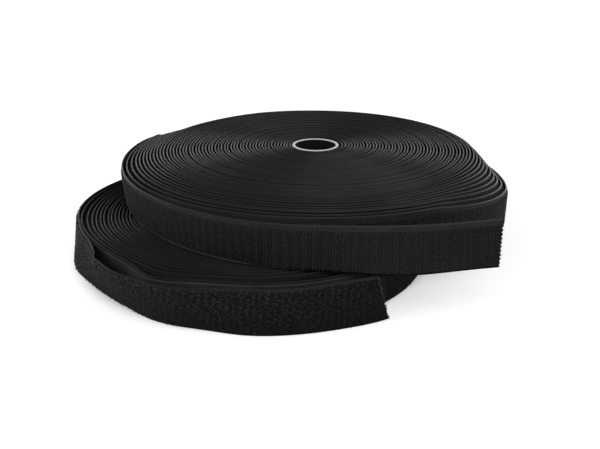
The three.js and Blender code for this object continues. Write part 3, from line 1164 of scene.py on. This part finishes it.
class TAPE_ROLLS_OT_hooks(bpy.types.Operator):
    """Rows of small nylon hooks on the outermost turn and the free end"""

    bl_idname = "tape_rolls.hooks"
    bl_label = "Hooks"

    def execute(self, context):
        margin = 0.7 * MM
        pieces = 3
        hook = strand("one_hook", radius=0.15 * MM, steps=HOOK_STEPS)
        whole = hook_path()
        starts = np.linspace(-HOOK_TURNS * HOOK_LAST_TURN, margin, pieces + 1)
        for number in range(pieces):
            name = "hooks_turn_%d" % (number + 1)
            piece = self.rows(name, hook, whole, starts[number], starts[number + 1], seed=number)
            dress(piece, "hook_tape", "hook_nylon")
            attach(piece, "hook_roll")
        piece = self.rows("hooks_end", hook, whole, margin, whole.along[-1] - margin, seed=9)
        dress(piece, "hook_tape", "hook_nylon")
        bend_piece(piece, whole, HOOK_BEND)
        return {"FINISHED"}

    def rows(self, name, hook, whole, start, end, seed):
        """Staggered rows of hooks in a slight zigzag. Pairs of columns face one way, then the other."""
        tape = settings().tape
        random = np.random.default_rng(100 + seed)
        numbers = np.arange(math.ceil(start / HOOK_SPACING), math.ceil(end / HOOK_SPACING))
        lowest = 1.2 * MM
        highest = tape.width - tape.hook_selvedge - 0.9 * MM
        rows = 19
        stray_along = 0.07 * MM
        stray_up = 0.06 * MM
        stray_turn = 0.35
        sunk = 0.02 * MM
        levels = np.linspace(lowest, highest, rows)
        along, height = np.meshgrid(numbers * HOOK_SPACING, levels, indexing="ij")
        column = np.repeat(numbers, len(levels))
        level = np.tile(np.arange(len(levels)), len(numbers))
        lift = (column % 2) * (levels[1] - levels[0]) / 2
        zigzag = 0.15 * MM * np.abs(level % 6 - 3) - 0.22 * MM
        along = along.ravel() + zigzag + random.normal(0, stray_along, along.size)
        height = height.ravel() + lift + random.normal(0, stray_up, height.size)
        origins = whole.at(along, height, np.full_like(along, tape.backing - sunk))
        spin = (column % 4 >= 2) * math.pi + random.normal(0, stray_turn, len(along))
        axes = turned_axes(*whole.axes(along), spin)
        scales = np.repeat(random.uniform(0.9, 1.1, len(along))[:, None], 3, 1)
        piece = strands(name, hook, origins, axes, scales, random.uniform(0, 1, len(along)))
        smooth(piece, FIBRE_SMOOTH)
        return piece


class TAPE_ROLLS_OT_loop_winding(bpy.types.Operator):
    """Loop tape wound on its core, turn by turn"""

    bl_idname = "tape_rolls.loop_winding"
    bl_label = "Loop winding"

    def execute(self, context):
        path = loop_path().winding()
        changes = [(*pressed_stretch(), FACE, PRESSED)]
        full = fullness(path, "loop_core")
        selvedge = settings().tape.loop_selvedge
        piece = band("loop_tape_turns", path, selvedge, rows=1, changes=changes, full=full)
        dress(piece, "loop_tape", *loop_tape_finishes("loop_edge"))
        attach(piece, "loop_roll")
        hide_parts("loop_winding")
        path.flat_size()
        return {"FINISHED"}


class TAPE_ROLLS_OT_loop_tail(bpy.types.Operator):
    """Free end of the loop tape"""

    bl_idname = "tape_rolls.loop_tail"
    bl_label = "Loop free end"

    def execute(self, context):
        whole = loop_path()
        path = whole.part(tail_start(), whole.along[-1], 1 * MM)
        piece = band("loop_tape_end", path, settings().tape.loop_selvedge, rows=24, cut=loop_cut)
        # The free end's lower rim takes painted shade
        dress(piece, "loop_tape", *loop_tape_finishes("low_rim"))
        bend_piece(piece, whole, LOOP_BEND)
        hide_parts("loop_tail")
        path.flat_size()
        return {"FINISHED"}


class TAPE_ROLLS_OT_pile(bpy.types.Operator):
    """Brushed loops on the outermost turn and the free end of the loop tape"""

    bl_idname = "tape_rolls.pile"
    bl_label = "Loop pile"

    def execute(self, context):
        turn_density = 1.6
        end_density = 2.4
        turn_pieces = 4
        end_pieces = 2
        margin = 0.5 * MM
        loop = strand("one_loop", radius=0.07 * MM, steps=LOOP_STEPS)
        whole = loop_path()
        starts = np.linspace(-PILE_TURNS * LOOP_LAST_TURN, tail_start(), turn_pieces + 1)
        for number in range(turn_pieces):
            name = "pile_turn_%d" % (number + 1)
            piece = self.field(name, loop, whole, starts[number], starts[number + 1], turn_density, number)
            dress(piece, "loop_tape", "loop_pile")
            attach(piece, "loop_roll")
        ends = np.linspace(tail_start(), whole.along[-1] - margin, end_pieces + 1)
        for number in range(end_pieces):
            name = "pile_end_%d" % (number + 1)
            piece = self.field(name, loop, whole, ends[number], ends[number + 1], end_density, 5 + number)
            dress(piece, "loop_tape", "loop_pile")
            bend_piece(piece, whole, LOOP_BEND)
        return {"FINISHED"}

    def field(self, name, loop, whole, start, end, density, seed):
        """Loops in tufts, by their number on a square millimetre. Where they were pressed they are low."""
        tape = settings().tape
        random = np.random.default_rng(200 + seed)
        low = tape.loop_selvedge
        area = (end - start) * (tape.width - 2 * low)
        tries_for_one = 1.8
        fewest = 0.15
        sunk = 0.35 * MM
        tries = int(tries_for_one * density * area / MM**2)
        along = random.uniform(start, end, tries)
        height = random.uniform(low, tape.width - low, tries)
        clump = tufts(along, height)
        keep = random.uniform(0, 1, tries) < fewest + (1 - fewest) * clump
        along, height, clump = along[keep], height[keep], clump[keep]
        count = len(along)
        origins = whole.at(along, height, np.full_like(along, tape.body - sunk))
        spin = random.uniform(0, TURN, count)
        axes = turned_axes(*whole.axes(along), spin)
        size = random.uniform(0.7, 1.25, count)
        rise = (0.45 + 0.75 * clump) * random.uniform(0.8, 1.2, count)
        on_end = along > 0
        # Painted light in the pile tones: on the free end, lighter near its start and painted shade lower
        # down
        lit_length = 90 * MM
        near = np.where(on_end, np.exp(-((along / lit_length) ** 2)), 0)
        # On the outermost turn the pile is painted lighter all along
        lit = np.where(on_end, 0.75 * near - 0.6 * (1 - height / tape.width) ** 2, 0.35)
        contrast = 0.49 + 0.33 * near
        tones = 0.24 + 0.65 * lit + contrast * (clump - 0.5) + random.normal(0, 0.08, count)
        pressed = ~on_end & (along < pressed_stretch()[1])
        pressed_rise = 0.3
        pressed_tone = 0.6
        rise = np.where(pressed, pressed_rise, rise)
        tones = np.where(pressed, pressed_tone, np.clip(tones, 0, 1))
        scales = np.stack([size, size, rise], -1)
        piece = strands(name, loop, origins, axes, scales, tones)
        smooth(piece, FIBRE_SMOOTH)
        return piece


class TAPE_ROLLS_OT_cut_ends(bpy.types.Operator):
    """Short fibres that stick out where the tapes are cut"""

    bl_idname = "tape_rolls.cut_ends"
    bl_label = "Cut ends"

    def execute(self, context):
        fibre = strand("one_fibre", radius=0.07 * MM, steps=CUT_FIBRE_STEPS)
        whole = loop_path()
        piece = self.fringe("loop_fray", fibre, whole, loop_cut, count=420, longest=1.0, seed=31)
        dress(piece, "loop_tape", "cut_fibres")
        bend_piece(piece, whole, LOOP_BEND)
        whole = hook_path()
        piece = self.fringe("hook_fray", fibre, whole, hook_cut, count=320, longest=0.6, seed=32)
        dress(piece, "hook_tape", "cut_hook_fibres")
        bend_piece(piece, whole, HOOK_BEND)
        return {"FINISHED"}

    def fringe(self, name, fibre, whole, cut, count, longest, seed):
        """That many fibres along a cut, which lean up, down and outwards."""
        tape = settings().tape
        random = np.random.default_rng(seed)
        margin = 0.2 * MM
        innermost = 0.1 * MM
        sunk = 0.15 * MM
        height = random.uniform(margin, tape.width - margin, count)
        out = random.uniform(innermost, tape.body, count)
        end = np.full(count, whole.along[-1])
        forward, up, outward = whole.axes(end)
        origins = whole.at(end, height, out) + forward * (cut(height) - sunk)[:, None]
        lean_up = random.normal(0, 0.35, count)[:, None]
        lean_out = random.normal(0.15, 0.4, count)[:, None]
        z_axis = forward + up * lean_up + outward * lean_out
        z_axis /= np.linalg.norm(z_axis, axis=1, keepdims=True)
        x_axis = np.cross(up, z_axis)
        x_axis /= np.linalg.norm(x_axis, axis=1, keepdims=True)
        axes = np.stack([x_axis, np.cross(z_axis, x_axis), z_axis], 1)
        size = random.uniform(0.5, 1.4, count) * longest
        scales = np.stack([np.ones(count), np.ones(count), size], -1)
        return strands(name, fibre, origins, axes, scales, random.uniform(0, 1, count))


class TAPE_ROLLS_PT_panel(bpy.types.Panel):
    """Sidebar panel that lists the settings and the pieces"""

    bl_idname = "TAPE_ROLLS_PT_panel"
    bl_label = "Tape rolls"
    bl_space_type = "VIEW_3D"
    bl_region_type = "UI"
    bl_category = "Tape rolls"

    def draw(self, context):
        values = context.scene.tape_rolls
        for group in (values.tape, values.loop, values.hook, values.finish):
            box = self.layout.box()
            for name in group.__annotations__:
                box.prop(group, name)
        for operator in OPERATORS:
            self.layout.operator(operator.bl_idname)


GROUPS = (TapeSettings, LoopRollSettings, HookRollSettings, FinishSettings, TapeRollSettings)
OPERATORS = (
    TAPE_ROLLS_OT_stage,
    TAPE_ROLLS_OT_cores,
    TAPE_ROLLS_OT_loop_winding,
    TAPE_ROLLS_OT_loop_tail,
    TAPE_ROLLS_OT_pile,
    TAPE_ROLLS_OT_hook_winding,
    TAPE_ROLLS_OT_hook_tail,
    TAPE_ROLLS_OT_hooks,
    TAPE_ROLLS_OT_cut_ends,
)


def register():
    for item in (*GROUPS, *OPERATORS, TAPE_ROLLS_PT_panel):
        bpy.utils.register_class(item)
    bpy.types.Scene.tape_rolls = PointerProperty(type=TapeRollSettings)


def unregister():
    del bpy.types.Scene.tape_rolls
    for item in reversed((*GROUPS, *OPERATORS, TAPE_ROLLS_PT_panel)):
        bpy.utils.unregister_class(item)


def main():
    register()
    bpy.ops.tape_rolls.stage()
    bpy.ops.tape_rolls.cores()
    bpy.ops.tape_rolls.loop_winding()
    bpy.ops.tape_rolls.loop_tail()
    bpy.ops.tape_rolls.pile()
    bpy.ops.tape_rolls.hook_winding()
    bpy.ops.tape_rolls.hook_tail()
    bpy.ops.tape_rolls.hooks()
    bpy.ops.tape_rolls.cut_ends()


if __name__ == "__main__":
    main()
